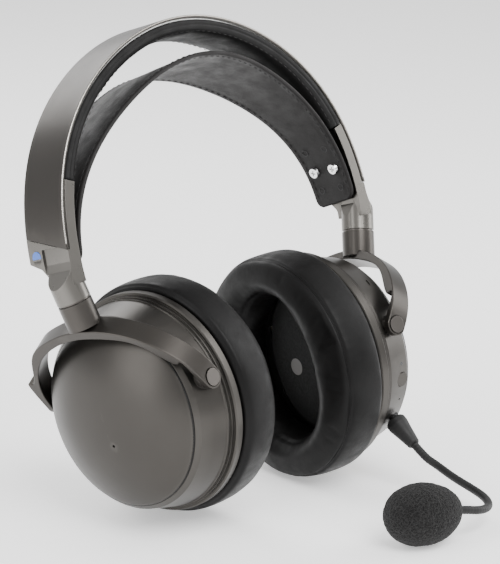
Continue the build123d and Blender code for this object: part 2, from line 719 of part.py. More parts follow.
def make_bushes(side):
    cf = CUP[side]
    with BuildPart() as pivot_bushes:
        for e in (1, -1):
            with BuildSketch(cf.plane((e * 46.4, PIVOT_UP, PIVOT_OUT), (0, 1, 0), (0, 0, 1))):
                Circle(3.3)
                Circle(PIN_R + PIN_FIT, mode=Mode.SUBTRACT)
            extrude(amount=7.4, dir=cf.dr((-e, 0, 0)))
    return pivot_bushes


def make_cup_screws(side):
    cf = CUP[side]
    with BuildPart() as cup_screws:
        with BuildSketch(cf.plane((0, 0, 4.06), (1, 0, 0), (0, 1, 0))):
            with PolarLocations(40.5, 4, start_angle=45):
                Circle(1.25)
        extrude(amount=2.6, dir=cf.dr((0, 0, -1)))
        with BuildSketch(cf.plane((0, 0, 4.07), (1, 0, 0), (0, 1, 0))):
            with PolarLocations(40.5, 4, start_angle=45):
                Circle(1.85)
        extrude(amount=1.3, dir=cf.dr((0, 0, 1)))
    return cup_screws


cups = {}
for side in SIDES:
    cups["cup_housing_" + side] = make_housing(side)
    cups["cup_cover_" + side] = make_cover(side)
    cups["cup_gasket_" + side] = ring(side, 41.0, 41.7, 22.62, 23.28)
    cups["baffle_" + side] = make_baffle(side)
    cups["driver_frame_" + side] = make_driver_frame(side)
    cups["driver_magnets_" + side] = make_magnets(side)
    cups["diaphragm_" + side] = ring(side, 0, 36.4, 4.7, 5.0)
    cups["driver_grille_" + side] = make_grille(side)
    cups["ear_pad_" + side] = make_pad(side)
    cups["pad_ring_" + side] = ring(side, 43.5, 48.5, -1.8, -0.02)
    cups["pad_cloth_" + side] = ring(side, 0, 43.3, -1.5, -1.0)
    cups["pivot_bushes_" + side] = make_bushes(side)
    cups["cup_screws_" + side] = make_cup_screws(side)
for name, body in cups.items():
    body.part.label = name


# plain round side disc on the left cup's cloth
with BuildPart() as side_disc_left:
    with BuildSketch(CUP["left"].plane((-9.6, -2.9, -1.5), (1, 0, 0), (0, 1, 0))):
        Circle(4.0)
    extrude(amount=0.5, dir=CUP["left"].dr((0, 0, -1)))
side_disc_left.part.label = "side_disc_left"

# flat cell in the right cup, circuit board in the left cup
with BuildPart() as battery:
    with BuildSketch(CUP["right"].plane((10, -6, 10.2), (1, 0, 0), (0, 1, 0))):
        RectangleRounded(34, 46, 2)
    extrude(amount=7.0, dir=CUP["right"].dr((0, 0, 1)))
battery.part.label = "battery"

with BuildPart() as circuit_board:
    with BuildSketch(CUP["left"].plane((0, 0, 11.0), (1, 0, 0), (0, 1, 0))):
        Circle(30.0)
        with Locations((0, 24)):
            Rectangle(80, 24, mode=Mode.SUBTRACT)
    extrude(amount=1.6, dir=CUP["left"].dr((0, 0, 1)))
    with BuildSketch(CUP["left"].plane((0, 0, 12.6), (1, 0, 0), (0, 1, 0))):
        with Locations((-4, -8), (10, -2)):
            Rectangle(8, 8)
    extrude(amount=1.0, dir=CUP["left"].dr((0, 0, 1)))
circuit_board.part.label = "circuit_board"


# ------------------------------------------------------------ controls and sockets
def radial_sketch_plane(deg, r, out=CTRL_OUT):
    return radial_frame("left", deg, out).plane((r, 0, 0), (0, 1, 0), (0, 0, 1))


def inward(deg):
    return radial_frame("left", deg, 0).dr((-1, 0, 0))


with BuildPart() as power_button:
    with BuildSketch(radial_sketch_plane(BUTTON_DEG, WALL_R + 0.25)):
        Circle(3.35)
    extrude(amount=3.8, dir=inward(BUTTON_DEG))
    with BuildSketch(radial_sketch_plane(BUTTON_DEG, 41.75)):
        Rectangle(9.0, 4.4)
    extrude(amount=0.9, dir=inward(BUTTON_DEG))
power_button.part.label = "power_button"

with BuildPart() as led_window:
    with BuildSketch(radial_sketch_plane(LED_DEG, WALL_R + 0.05)):
        Circle(0.85)
    extrude(amount=2.6, dir=inward(LED_DEG))
led_window.part.label = "led_window"


def make_socket(deg, bore_r, depth):
    with BuildPart() as socket:
        with BuildSketch(radial_sketch_plane(deg, WALL_R - 0.15)):
            Circle(3.3)
        extrude(amount=depth + 1.2, dir=inward(deg))
        with BuildSketch(radial_sketch_plane(deg, WALL_R + 1.0)):
            Circle(bore_r)
        extrude(amount=depth + 1.0, dir=inward(deg), mode=Mode.SUBTRACT)
    return socket


mic_socket = make_socket(MIC_DEG, 1.75, 12.0)
mic_socket.part.label = "mic_socket"
audio_jack = make_socket(JACK_DEG, 1.80, 12.0)
audio_jack.part.label = "audio_jack"

with BuildPart() as usb_port:
    with BuildSketch(radial_sketch_plane(USB_DEG, WALL_R - 0.5)):
        SlotOverall(9.6, 3.8)
        SlotOverall(8.94, 3.16, mode=Mode.SUBTRACT)
    extrude(amount=7.0, dir=inward(USB_DEG))
    with BuildSketch(radial_sketch_plane(USB_DEG, WALL_R - 7.0)):
        SlotOverall(9.6, 3.8)
    extrude(amount=0.8, dir=inward(USB_DEG))
    with BuildSketch(radial_sketch_plane(USB_DEG, WALL_R - 1.5)):
        Rectangle(6.7, 0.7)
    extrude(amount=5.8, dir=inward(USB_DEG))
usb_port.part.label = "usb_port"

WHEEL_C = 39.6
with BuildPart() as volume_wheel:
    rf = radial_frame("left", WHEEL_DEG, CTRL_OUT - 1.6)
    with BuildSketch(rf.plane((WHEEL_C, 0, 0), (1, 0, 0), (0, 1, 0))):
        Circle(6.3)
        with PolarLocations(6.35, 24):
            Circle(0.28, mode=Mode.SUBTRACT)
    extrude(amount=3.2, dir=rf.dr((0, 0, 1)))
volume_wheel.part.label = "volume_wheel"

with BuildPart() as mute_slider:
    rf = radial_frame("left", MUTE_DEG, CTRL_OUT)
    with BuildSketch(rf.plane((WALL_R + 0.7, -1.4, 0), (0, 1, 0), (0, 0, 1))):
        Rectangle(4.0, 2.4)
    extrude(amount=3.9, dir=rf.dr((-1, 0, 0)))
    with BuildSketch(rf.plane((42.0, -1.4, 0), (0, 1, 0), (0, 0, 1))):
        Rectangle(6.0, 4.6)
    extrude(amount=0.8, dir=rf.dr((-1, 0, 0)))
mute_slider.part.label = "mute_slider"


# ------------------------------------------------------------ boom microphone
MIC = radial_frame("left", MIC_DEG, CTRL_OUT)
BOOT_L, BOOT_R0 = 15.5, 46.8
with BuildPart() as mic_boot:
    # plug pin
    with BuildSketch(MIC.plane((BOOT_R0 + 0.5, 0, 0), (0, 1, 0), (0, 0, 1))):
        Circle(1.70)
    extrude(amount=13.0, dir=MIC.dr((-1, 0, 0)))
    # tapered rubberised boot
    with BuildSketch(MIC.plane((BOOT_R0, 0, 0), (1, 0, 0), (0, 1, 0))):
        outline([(0, 0), (0, 4.3), (0.8, 4.9), (3.2, 4.9), (8.0, 4.0),
                 (BOOT_L - 0.6, 2.9), (BOOT_L, 2.4), (BOOT_L, 0)])
    revolve(axis=MIC.axis((0, 0, 0), (1, 0, 0)))
mic_boot.part.label = "mic_boot"

# gooseneck: the path runs forward and down from the boot, then curls inwards
boot_end = MIC.pt((BOOT_R0 + BOOT_L, 0, 0))
boot_dir = MIC.dr((1, 0, 0))
neck_route = [
    boot_end,
    boot_end + boot_dir * 8.0,
    Vector(63.4, -39.4, 14.6),
    Vector(62.2, -51.4, 11.6),
    Vector(61.6, -62.9, 9.6),
    Vector(58.6, -73.9, 8.7),
    Vector(51.0, -82.5, 9.0),
    Vector(40.5, -86.3, 10.8),
    Vector(30.5, -83.5, 13.2),
    Vector(18.85, -79.03, 13.84),
]


def tube_radii(points):
    radii = []
    for a, b, c in zip(points, points[1:], points[2:]):
        turn = (b - a).get_angle(c - b)
        radii.append(0.45 * min((b - a).length, (c - b).length) / tan(radians(turn / 2)))
    return radii


neck_radii = tube_radii(neck_route)
print("gooseneck radii", [round(r, 1) for r in neck_radii])
with BuildPart() as gooseneck:
    with BuildLine() as neck_line:
        FilletPolyline(*neck_route, radius=neck_radii)
    with BuildSketch(Plane(origin=neck_route[0], z_dir=neck_route[1] - neck_route[0])):
        Circle(NECK_R)
    sweep(path=neck_line.wires()[0])
gooseneck.part.label = "gooseneck"
print("gooseneck length", round(neck_line.wires()[0].length, 1),
      "volume ratio", round(gooseneck.part.volume / (neck_line.wires()[0].length * pi * NECK_R ** 2), 4))

fy = radians(FOAM_YAW)
FOAM = Frame(Vector(*FOAM_C), Vector(cos(fy), sin(fy), 0), Vector(-sin(fy), cos(fy), 0), Vector(0, 0, 1))
with BuildPart() as mic_capsule:
    with BuildSketch(FOAM.plane((-6.0, 0, 0), (0, 1, 0), (0, 0, 1))):
        Circle(4.6)
    extrude(amount=12.0, dir=FOAM.dr((1, 0, 0)))
mic_capsule.part.label = "mic_capsule"

with BuildPart() as windscreen:
    with BuildSketch(FOAM.plane((0, 0, 0), (1, 0, 0), (0, 0, 1))):
        n = 13
        prof = []
        for i in range(n):
            a = pi * i / (n - 1)
            # egg shape, blunter at the closed end
            prof.append((-FOAM_A * cos(a), FOAM_R * sin(a) ** 0.92 * (1 - 0.06 * -cos(a))))
        prof[0], prof[-1] = (-FOAM_A, 0), (FOAM_A, 0)
        with BuildLine():
            Spline(*prof, tangents=((0, 1), (0, -1)))
            Line(prof[-1], prof[0])
        make_face()
    revolve(axis=FOAM.axis((0, 0, 0), (1, 0, 0)))
    # hollow for the capsule, open at the gooseneck's end
    with BuildSketch(FOAM.plane((-6.4, 0, 0), (0, 1, 0), (0, 0, 1))):
        Circle(5.0)
    extrude(amount=26.4, dir=FOAM.dr((1, 0, 0)), mode=Mode.SUBTRACT)
windscreen.part.label = "windscreen"

# ------------------------------------------------------------ write the parts
os.makedirs("parts", exist_ok=True)
export_step(headband_skin.part, "parts/headband_skin.step")
export_step(headband_spring.part, "parts/headband_spring.step")
export_step(headband_liner.part, "parts/headband_liner.step")
export_step(link_cable.part, "parts/link_cable.step")
export_step(end_piece_left.part, "parts/end_piece_left.step")
export_step(end_piece_right.part, "parts/end_piece_right.step")
export_step(end_markers.part, "parts/end_markers.step")
export_step(suspension_strap.part, "parts/suspension_strap.step")
export_step(strap_plates.part, "parts/strap_plates.step")
export_step(strap_screws.part, "parts/strap_screws.step")
export_step(swivel_pins.part, "parts/swivel_pins.step")
export_step(swivel_washers.part, "parts/swivel_washers.step")
export_step(yoke_left.part, "parts/yoke_left.step")
export_step(yoke_right.part, "parts/yoke_right.step")
export_step(swivel_bush_left.part, "parts/swivel_bush_left.step")
export_step(swivel_bush_right.part, "parts/swivel_bush_right.step")
export_step(pivot_pins_left.part, "parts/pivot_pins_left.step")
export_step(pivot_pins_right.part, "parts/pivot_pins_right.step")
for name, body in cups.items():
    export_step(body.part, "parts/" + name + ".step")
export_step(side_disc_left.part, "parts/side_disc_left.step")
export_step(battery.part, "parts/battery.step")
export_step(circuit_board.part, "parts/circuit_board.step")
export_step(power_button.part, "parts/power_button.step")
export_step(led_window.part, "parts/led_window.step")
export_step(mic_socket.part, "parts/mic_socket.step")
export_step(audio_jack.part, "parts/audio_jack.step")
export_step(usb_port.part, "parts/usb_port.step")
export_step(volume_wheel.part, "parts/volume_wheel.step")
export_step(mute_slider.part, "parts/mute_slider.step")
export_step(mic_boot.part, "parts/mic_boot.step")
export_step(gooseneck.part, "parts/gooseneck.step")
export_step(mic_capsule.part, "parts/mic_capsule.step")
export_step(windscreen.part, "parts/windscreen.step")
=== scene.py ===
import bpy, bmesh, json, math
import numpy as np
from mathutils import Matrix, Vector, noise


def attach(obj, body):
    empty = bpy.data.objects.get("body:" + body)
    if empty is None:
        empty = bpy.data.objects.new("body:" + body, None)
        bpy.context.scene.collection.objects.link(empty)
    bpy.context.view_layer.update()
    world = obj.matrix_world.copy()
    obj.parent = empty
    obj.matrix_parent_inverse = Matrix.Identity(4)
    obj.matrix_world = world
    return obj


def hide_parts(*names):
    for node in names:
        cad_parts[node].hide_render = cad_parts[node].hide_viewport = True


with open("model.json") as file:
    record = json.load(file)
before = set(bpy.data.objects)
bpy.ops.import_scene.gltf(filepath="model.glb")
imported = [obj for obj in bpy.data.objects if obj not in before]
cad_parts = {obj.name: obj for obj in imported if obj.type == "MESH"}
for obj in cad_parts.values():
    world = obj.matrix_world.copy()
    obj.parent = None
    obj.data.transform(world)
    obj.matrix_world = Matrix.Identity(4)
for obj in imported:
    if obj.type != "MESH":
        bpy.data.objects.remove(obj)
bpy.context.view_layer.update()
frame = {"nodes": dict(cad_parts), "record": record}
nodes = frame["nodes"]
MM = 0.001

# ------------------------------------------------------------ frames (mm)
LEAN = math.radians(18)
SHIFT = Vector((0.0, 39.985, 105.112))
LS, LC = math.sin(LEAN), math.cos(LEAN)


def H(x, y, z):
    """Headset frame to row frame, in mm."""
    return Vector((x, y * LC + z * LS, -y * LS + z * LC)) + SHIFT


CUP = {
    "left": (Vector((48.763964, 26.975503 , 53.812845)), Vector((-0.094803, -0.946773, 0.307625)),
             Vector((-0.022585, 0.310983, 0.950147)), Vector((0.99524, -0.083129, 0.050865))),
    "right": (Vector((-47.889754, 27.506063, 55.176326)), Vector((0.094803, -0.946773, 0.307625)),
              Vector((-0.081569, 0.30059, 0.950259)), Vector((-0.992149, -0.115181, -0.048731))),
}


def cup(side, f, u, h):
    o, a, b, c = CUP[side]
    return (o + a * f + b * u + c * h) * MM


# ------------------------------------------------------------ materials
def new_mat(name):
    m = bpy.data.materials.new(name)
    m.use_nodes = True
    nt = m.node_tree
    b = nt.nodes["Principled BSDF"]
    tc = nt.nodes.new("ShaderNodeTexCoord")
    return m, nt, b, tc


def node(nt, kind, **kw):
    n = nt.nodes.new(kind)
    for k, v in kw.items():
        if k in n.inputs:
            n.inputs[k].default_value = v
        else:
            setattr(n, k, v)
    return n


def noise_tex(nt, tc, scale, detail=4.0, rough=0.55, stretch=None):
    n = node(nt, "ShaderNodeTexNoise", Scale=scale, Detail=detail, Roughness=rough)
    src = tc.outputs["Object"]
    if stretch:
        mp = node(nt, "ShaderNodeMapping")
        mp.inputs["Scale"].default_value = stretch
        nt.links.new(src, mp.inputs["Vector"])
        src = mp.outputs["Vector"]
    nt.links.new(src, n.inputs["Vector"])
    return n


def ramp(nt, src, stops):
    r = nt.nodes.new("ShaderNodeValToRGB")
    el = r.color_ramp.elements
    while len(el) < len(stops):
        el.new(0.5)
    for e, (p, c) in zip(el, stops):
        e.position = p
        e.color = (*c, 1) if len(c) == 3 else c
    nt.links.new(src, r.inputs["Fac"])
    return r


def spread(nt, src, lo, hi):
    r = nt.nodes.new("ShaderNodeMapRange")
    r.inputs["To Min"].default_value = lo
    r.inputs["To Max"].default_value = hi
    r.inputs["From Min"].default_value = 0.3
    r.inputs["From Max"].default_value = 0.7
    nt.links.new(src, r.inputs["Value"])
    return r


def bump(nt, height, strength, dist, normal=None):
    b = nt.nodes.new("ShaderNodeBump")
    b.inputs["Strength"].default_value = strength
    b.inputs["Distance"].default_value = dist
    nt.links.new(height, b.inputs["Height"])
    if normal is not None:
        nt.links.new(normal, b.inputs["Normal"])
    return b


def metal(name, color, rough=0.34, metallic=0.9, grain=2600, brushed=None, edge=0.35, edge_highlight=1.0, coat=0.0):
    """Satin metal: fine bead-blast grain, smudged gloss, rounded edges, and a painted highlight that lightens the
    colour on sharp convex edges.
    """
    m, nt, b, tc = new_mat(name)
    big = noise_tex(nt, tc, 38, 3)
    dark = tuple(x * 0.96 for x in color)
    lite = tuple(min(1, x * 1.05) for x in color)
    r = ramp(nt, big.outputs["Fac"], [(0.3, dark), (0.7, lite)])
    geo = nt.nodes.new("ShaderNodeNewGeometry")
    # painted highlight: colour lightened towards 1.7x on sharp convex edges
    edge_highlight_mask = ramp(nt, geo.outputs["Pointiness"], [(0.50, (0, 0, 0)), (0.56, (1, 1, 1))])
    mix = nt.nodes.new("ShaderNodeMixRGB")
    mix.blend_type = "MIX"
    scl = nt.nodes.new("ShaderNodeMath")
    scl.operation = "MULTIPLY"
    scl.inputs[1].default_value = 0.3 * edge_highlight
    nt.links.new(edge_highlight_mask.outputs["Color"], scl.inputs[0])
    nt.links.new(scl.outputs[0], mix.inputs["Fac"])
    nt.links.new(r.outputs["Color"], mix.inputs["Color1"])
    mix.inputs["Color2"].default_value = (*[min(1, x * 1.7 + 0.01) for x in color], 1)
    nt.links.new(mix.outputs["Color"], b.inputs["Base Color"])
    fine = noise_tex(nt, tc, grain, 2, 0.6, brushed)
    smudge = noise_tex(nt, tc, 95, 5, 0.6)
    rr = spread(nt, smudge.outputs["Fac"], rough * 0.94, rough * 1.08)
    nt.links.new(rr.outputs["Result"], b.inputs["Roughness"])
    b.inputs["Metallic"].default_value = metallic
    b.inputs["Coat Weight"].default_value = coat
    bev = node(nt, "ShaderNodeBevel", Radius=edge * MM)
    bev.samples = 4
    bp = bump(nt, fine.outputs["Fac"], 0.16, 0.00004, bev.outputs["Normal"])
    nt.links.new(bp.outputs["Normal"], b.inputs["Normal"])
    return m


def leather(name, color, cell=1500, rough=0.42, bump_s=0.5, sheen=0.0, spec=0.26):
    """Leatherette: small irregular grain with fine creases and uneven gloss."""
    m, nt, b, tc = new_mat(name)
    warp = noise_tex(nt, tc, 220, 3)
    add = nt.nodes.new("ShaderNodeMixRGB")
    add.blend_type = "ADD"
    add.inputs["Fac"].default_value = 0.0012
    nt.links.new(tc.outputs["Object"], add.inputs["Color1"])
    nt.links.new(warp.outputs["Color"], add.inputs["Color2"])
    vo = node(nt, "ShaderNodeTexVoronoi", Scale=cell, feature="DISTANCE_TO_EDGE")
    nt.links.new(add.outputs["Color"], vo.inputs["Vector"])
    gr = ramp(nt, vo.outputs["Distance"], [(0.0, (0, 0, 0)), (0.28, (1, 1, 1))])
    cre = noise_tex(nt, tc, 120, 6, 0.65)
    tint = noise_tex(nt, tc, 45, 3)
    cr = ramp(nt, tint.outputs["Fac"], [(0.3, tuple(x * 0.8 for x in color)), (0.72, tuple(min(1, x * 1.25) for x in color))])
    nt.links.new(cr.outputs["Color"], b.inputs["Base Color"])
    rr = spread(nt, cre.outputs["Fac"], rough * 0.8, rough * 1.3)
    nt.links.new(rr.outputs["Result"], b.inputs["Roughness"])
    b.inputs["Sheen Weight"].default_value = sheen
    b.inputs["Specular IOR Level"].default_value = spec
    b1 = bump(nt, gr.outputs["Color"], bump_s * 0.6, 0.00008)
    b2 = bump(nt, cre.outputs["Fac"], bump_s, 0.0003, b1.outputs["Normal"])
    nt.links.new(b2.outputs["Normal"], b.inputs["Normal"])
    return m


def plastic(name, color, rough=0.5, grain=1800, bump_s=0.18, coat=0.0, edge=0.25, trans=0.0, emit=None):
    """Moulded plastic or rubber with a fine spark-eroded texture."""
    m, nt, b, tc = new_mat(name)
    tint = noise_tex(nt, tc, 60, 3)
    cr = ramp(nt, tint.outputs["Fac"], [(0.3, tuple(x * 0.86 for x in color)), (0.7, tuple(min(1, x * 1.16 + 0.001) for x in color))])
    nt.links.new(cr.outputs["Color"], b.inputs["Base Color"])
    sm = noise_tex(nt, tc, 180, 4)
    rr = spread(nt, sm.outputs["Fac"], rough * 0.85, min(1, rough * 1.18))
    nt.links.new(rr.outputs["Result"], b.inputs["Roughness"])
    b.inputs["Coat Weight"].default_value = coat
    b.inputs["Specular IOR Level"].default_value = 0.32
    if trans:
        b.inputs["Transmission Weight"].default_value = trans
    if emit:
        b.inputs["Emission Color"].default_value = (*emit, 1)
        b.inputs["Emission Strength"].default_value = 0.15
    vo = node(nt, "ShaderNodeTexVoronoi", Scale=grain)
    nt.links.new(tc.outputs["Object"], vo.inputs["Vector"])
    bev = node(nt, "ShaderNodeBevel", Radius=edge * MM)
    bev.samples = 4
    bp = bump(nt, vo.outputs["Distance"], bump_s, 0.00006, bev.outputs["Normal"])
    nt.links.new(bp.outputs["Normal"], b.inputs["Normal"])
    return m


def woven(name, color, pitch=0.7):
    """Knitted speaker cloth: crossed threads with small gaps."""
    m, nt, b, tc = new_mat(name)
    waves = []
    for d in ("Y", "Z"):
        w = node(nt, "ShaderNodeTexWave", Scale=1 / (pitch * MM) / 6.28 * 3.14, Distortion=0.6)
        w.wave_type = "BANDS"
        w.bands_direction = d
        w.inputs["Detail Scale"].default_value = 300
        nt.links.new(tc.outputs["Object"], w.inputs["Vector"])
        waves.append(w)
    mul = nt.nodes.new("ShaderNodeMath")
    mul.operation = "MULTIPLY"
    nt.links.new(waves[0].outputs["Fac"], mul.inputs[0])
    nt.links.new(waves[1].outputs["Fac"], mul.inputs[1])
    cr = ramp(nt, mul.outputs[0], [(0.1, tuple(x * 0.3 for x in color)), (0.6, tuple(x * 1.6 for x in color))])
    nt.links.new(cr.outputs["Color"], b.inputs["Base Color"])
    fz = noise_tex(nt, tc, 900, 3)
    rr = spread(nt, fz.outputs["Fac"], 0.75, 0.95)
    nt.links.new(rr.outputs["Result"], b.inputs["Roughness"])
    b.inputs["Sheen Weight"].default_value = 0.05
    bp = bump(nt, mul.outputs[0], 0.6, 0.0002)
    nt.links.new(bp.outputs["Normal"], b.inputs["Normal"])
    return m


def foam_mat(name, color):
    """Open-cell foam: pores of mixed size painted dark as shade, between fine matte walls."""
    m, nt, b, tc = new_mat(name)
    v1 = node(nt, "ShaderNodeTexVoronoi", Scale=1050)
    v2 = node(nt, "ShaderNodeTexVoronoi", Scale=2300)
    for v in (v1, v2):
        nt.links.new(tc.outputs["Object"], v.inputs["Vector"])
    mx = nt.nodes.new("ShaderNodeMath")
    mx.operation = "MULTIPLY"
    nt.links.new(v1.outputs["Distance"], mx.inputs[0])
    nt.links.new(v2.outputs["Distance"], mx.inputs[1])
    # painted shade: colour drops to 0.12x inside the pores
    cr = ramp(nt, mx.outputs[0], [(0.05, tuple(x * 0.12 for x in color)), (0.45, tuple(x * 2.1 for x in color))])
    nt.links.new(cr.outputs["Color"], b.inputs["Base Color"])
    nz = noise_tex(nt, tc, 700, 5, 0.7)
    rr = spread(nt, nz.outputs["Fac"], 0.82, 1.0)
    nt.links.new(rr.outputs["Result"], b.inputs["Roughness"])
    b.inputs["Specular IOR Level"].default_value = 0.2
    b.inputs["Sheen Weight"].default_value = 0.05
    b1 = bump(nt, mx.outputs[0], 1.0, 0.0009)
    b2 = bump(nt, nz.outputs["Fac"], 0.7, 0.0004, b1.outputs["Normal"])
    nt.links.new(b2.outputs["Normal"], b.inputs["Normal"])
    return m


MATS = {
    "gunmetal": metal("gunmetal_satin", (0.047, 0.043, 0.039), 0.32),
    "shell_metal": metal("shell_satin", (0.050, 0.0465, 0.0425), 0.33),
    "satin_metal": metal("satin_bar", (0.120, 0.114, 0.105), 0.28, 1.0, brushed=(1, 1, 0.08)),
    "spring_steel": metal("spring_strip", (0.62, 0.62, 0.60), 0.22, 1.0, brushed=(0.05, 1, 0.05)),
    "screw_chrome": metal("screw_chrome", (0.82, 0.82, 0.82), 0.12, 1.0, edge=0.15),
    "pin_steel": metal("pin_steel", (0.085, 0.078, 0.072), 0.33, 1.0),
    "pad_leatherette": leather("pad_leatherette", (0.0030, 0.0028, 0.0028), 1500, 0.44, 0.40, spec=0.15),
    "strap_leatherette": leather("strap_leatherette", (0.0105, 0.0096, 0.0095), 1250, 0.50, 0.45, spec=0.2),
    "liner_black": leather("liner_black", (0.0045, 0.0043, 0.0043), 1700, 0.55, 0.35, spec=0.2),
    "black_plastic": plastic("black_plastic", (0.009, 0.0088, 0.009), 0.45),
    "gray_plastic": plastic("gray_plastic", (0.16, 0.155, 0.15), 0.5),
    "mesh_cloth": woven("mesh_cloth", (0.003, 0.003, 0.003)),
    "foam_black": foam_mat("foam_black", (0.0085, 0.0082, 0.0082)),
    "black_rubber": plastic("black_rubber", (0.0075, 0.0073, 0.0074), 0.55, 2600, 0.3),
    "blue_mark": plastic("blue_mark", (0.02, 0.10, 0.42), 0.22, coat=0.6),
    "light_window": plastic("light_window", (0.02, 0.022, 0.022), 0.25, coat=0.5),
    "board_green": plastic("board_green", (0.02, 0.14, 0.06), 0.4),
    "cell_wrap": plastic("cell_wrap", (0.10, 0.16, 0.36), 0.35),
    "brass": metal("brass_gilt", (0.80, 0.58, 0.25), 0.22, 1.0),
    "nickel": metal("nickel", (0.60, 0.59, 0.56), 0.24, 1.0),
    "film": plastic("film", (0.60, 0.58, 0.50), 0.2, coat=0.4),
    "grille_black": metal("grille_black", (0.03, 0.03, 0.03), 0.45, 0.5),
}
THREAD = plastic("stitch_thread", (0.022, 0.021, 0.021), 0.7, 3500, 0.5)
# bright silver metal for the tube that paints the skin's edge highlight
SKIN_EDGE_HIGHLIGHT = metal("skin_edge_highlight_silver", (0.42, 0.40, 0.37), 0.25, 1.0, brushed=(0.05, 1, 1))
slot_of = {s["node"]: s["material_slot"] for s in frame["record"]["subparts"]}
for n, o in nodes.items():
    mt = MATS[{"power_button": "shell_metal", "mic_socket": "black_plastic"}.get(n, slot_of[n])]
    if len(o.material_slots) == 0:
        o.data.materials.append(mt)
    for sl in o.material_slots:
        sl.material = mt


# ------------------------------------------------------------ helpers
def mesh_obj(name, verts, faces, mat, smooth=True):
    me = bpy.data.meshes.new(name)
    me.from_pydata([tuple(v) for v in verts], [], faces)
    bm = bmesh.new()
    bm.from_mesh(me)
    bmesh.ops.recalc_face_normals(bm, faces=bm.faces)
    bm.to_mesh(me)
    bm.free()
    for p in me.polygons:
        p.use_smooth = smooth
    o = bpy.data.objects.new(name, me)
    bpy.context.scene.collection.objects.link(o)
    me.materials.append(mat)
    return o


def loop_grid(rows, closed_u, closed_v, caps=False):
    """rows: list of lists of points. Returns verts and quads."""
    nu, nv = len(rows), len(rows[0])
    verts = [p for r in rows for p in r]
    faces = []
    for i in range(nu if closed_u else nu - 1):
        for j in range(nv if closed_v else nv - 1):
            a, b = i, (i + 1) % nu
            c, d = j, (j + 1) % nv
            faces.append((a * nv + c, b * nv + c, b * nv + d, a * nv + d))
    if caps:
        faces.append(tuple(range(nv)))
        faces.append(tuple((nu - 1) * nv + j for j in range(nv))[::-1])
    return verts, faces


def apply_mods(o):
    dg = bpy.context.evaluated_depsgraph_get()
    me = bpy.data.meshes.new_from_object(o.evaluated_get(dg))
    o.modifiers.clear()
    o.data = me
    for p in me.polygons:
        p.use_smooth = True


def tube(name, pts, r, mat, closed=False, n=8):
    """Round tube along points (metres)."""
    pts = [Vector(p) for p in pts]
    rows = []
    up = None
    k = len(pts)
    for i, p in enumerate(pts):
        t = (pts[(i + 1) % k] - pts[i - 1]) if closed else (pts[min(i + 1, k - 1)] - pts[max(i - 1, 0)])
        t.normalize()
        if up is None:
            up = t.orthogonal().normalized()
        up = (up - t * up.dot(t)).normalized()
        sd = t.cross(up)
        rr = r(i) if callable(r) else r
        rows.append([p + (up * math.cos(2 * math.pi * j / n) + sd * math.sin(2 * math.pi * j / n)) * rr for j in range(n)])
    v, f = loop_grid(rows, closed, True, caps=not closed)
    return mesh_obj(name, v, f, mat)


def stitches(name, pts, normals, mat, length=2.0, gap=1.1, r=0.22):
    """Thread dashes along a line of points (mm steps worked out from the line)."""
    pts = [Vector(p) for p in pts]
    seg = [0.0]
    for a, b in zip(pts, pts[1:]):
        seg.append(seg[-1] + (b - a).length)
    total = seg[-1]
    bm = bmesh.new()
    s = 0.3 * length * MM
    pitch = (length + gap) * MM

    def at(x):
        i = min(len(seg) - 2, max(0, int(np.searchsorted(seg, x)) - 1))
        w = (x - seg[i]) / max(1e-9, seg[i + 1] - seg[i])
        return pts[i].lerp(pts[i + 1], w), normals[i].lerp(normals[i + 1], w).normalized()

    while s + length * MM < total:
        ring = []
        for q in range(7):
            w = q / 6
            p, nm = at(s + w * length * MM)
            a, _ = at(min(total, s + w * length * MM + 1e-4))
            b, _ = at(max(0, s + w * length * MM - 1e-4))
            t = (a - b).normalized()
            sd = t.cross(nm).normalized()
            h = math.sin(math.pi * w)
            rr = r * MM * (0.35 + 0.65 * math.sqrt(max(0, h)))
            c = p + nm * (r * MM * (0.9 * h - 0.25))
            ring.append([bm.verts.new(c + (nm * math.cos(k * math.pi / 3) + sd * math.sin(k * math.pi / 3)) * rr) for k in range(6)])
        for a, b in zip(ring, ring[1:]):
            for k in range(6):
                bm.faces.new((a[k], b[k], b[(k + 1) % 6], a[(k + 1) % 6]))
        bm.faces.new(ring[0][::-1])
        bm.faces.new(ring[-1])
        s += pitch
    me = bpy.data.meshes.new(name)
    bm.to_mesh(me)
    bm.free()
    for p in me.polygons:
        p.use_smooth = True
    o = bpy.data.objects.new(name, me)
    bpy.context.scene.collection.objects.link(o)
    me.materials.append(mat)
    return o


# ------------------------------------------------------------ ear pads
def inner_r(th):
    return 1 / math.sqrt((math.cos(th) / 24.6) ** 2 + (math.sin(th) / 32.0) ** 2)


PROFILE = [(0.88, -0.75), (0.955, -1.3), (0.985, -3.0), (1.0, -6.5), (1.005, -10.5), (1.0, -14.5),
           (0.982, -18.0), (0.945, -20.6), (0.87, -22.6), (0.74, -24.0), (0.58, -24.8), (0.42, -24.5), (0.28, -23.0),
           (0.16, -20.4), (0.07, -16.8), (0.02, -12.5), (0.01, -8.5), (0.03, -5.0), (0.07, -2.8), (0.25, -2.0), (0.55, -2.0)]
OUT_R = 52.2


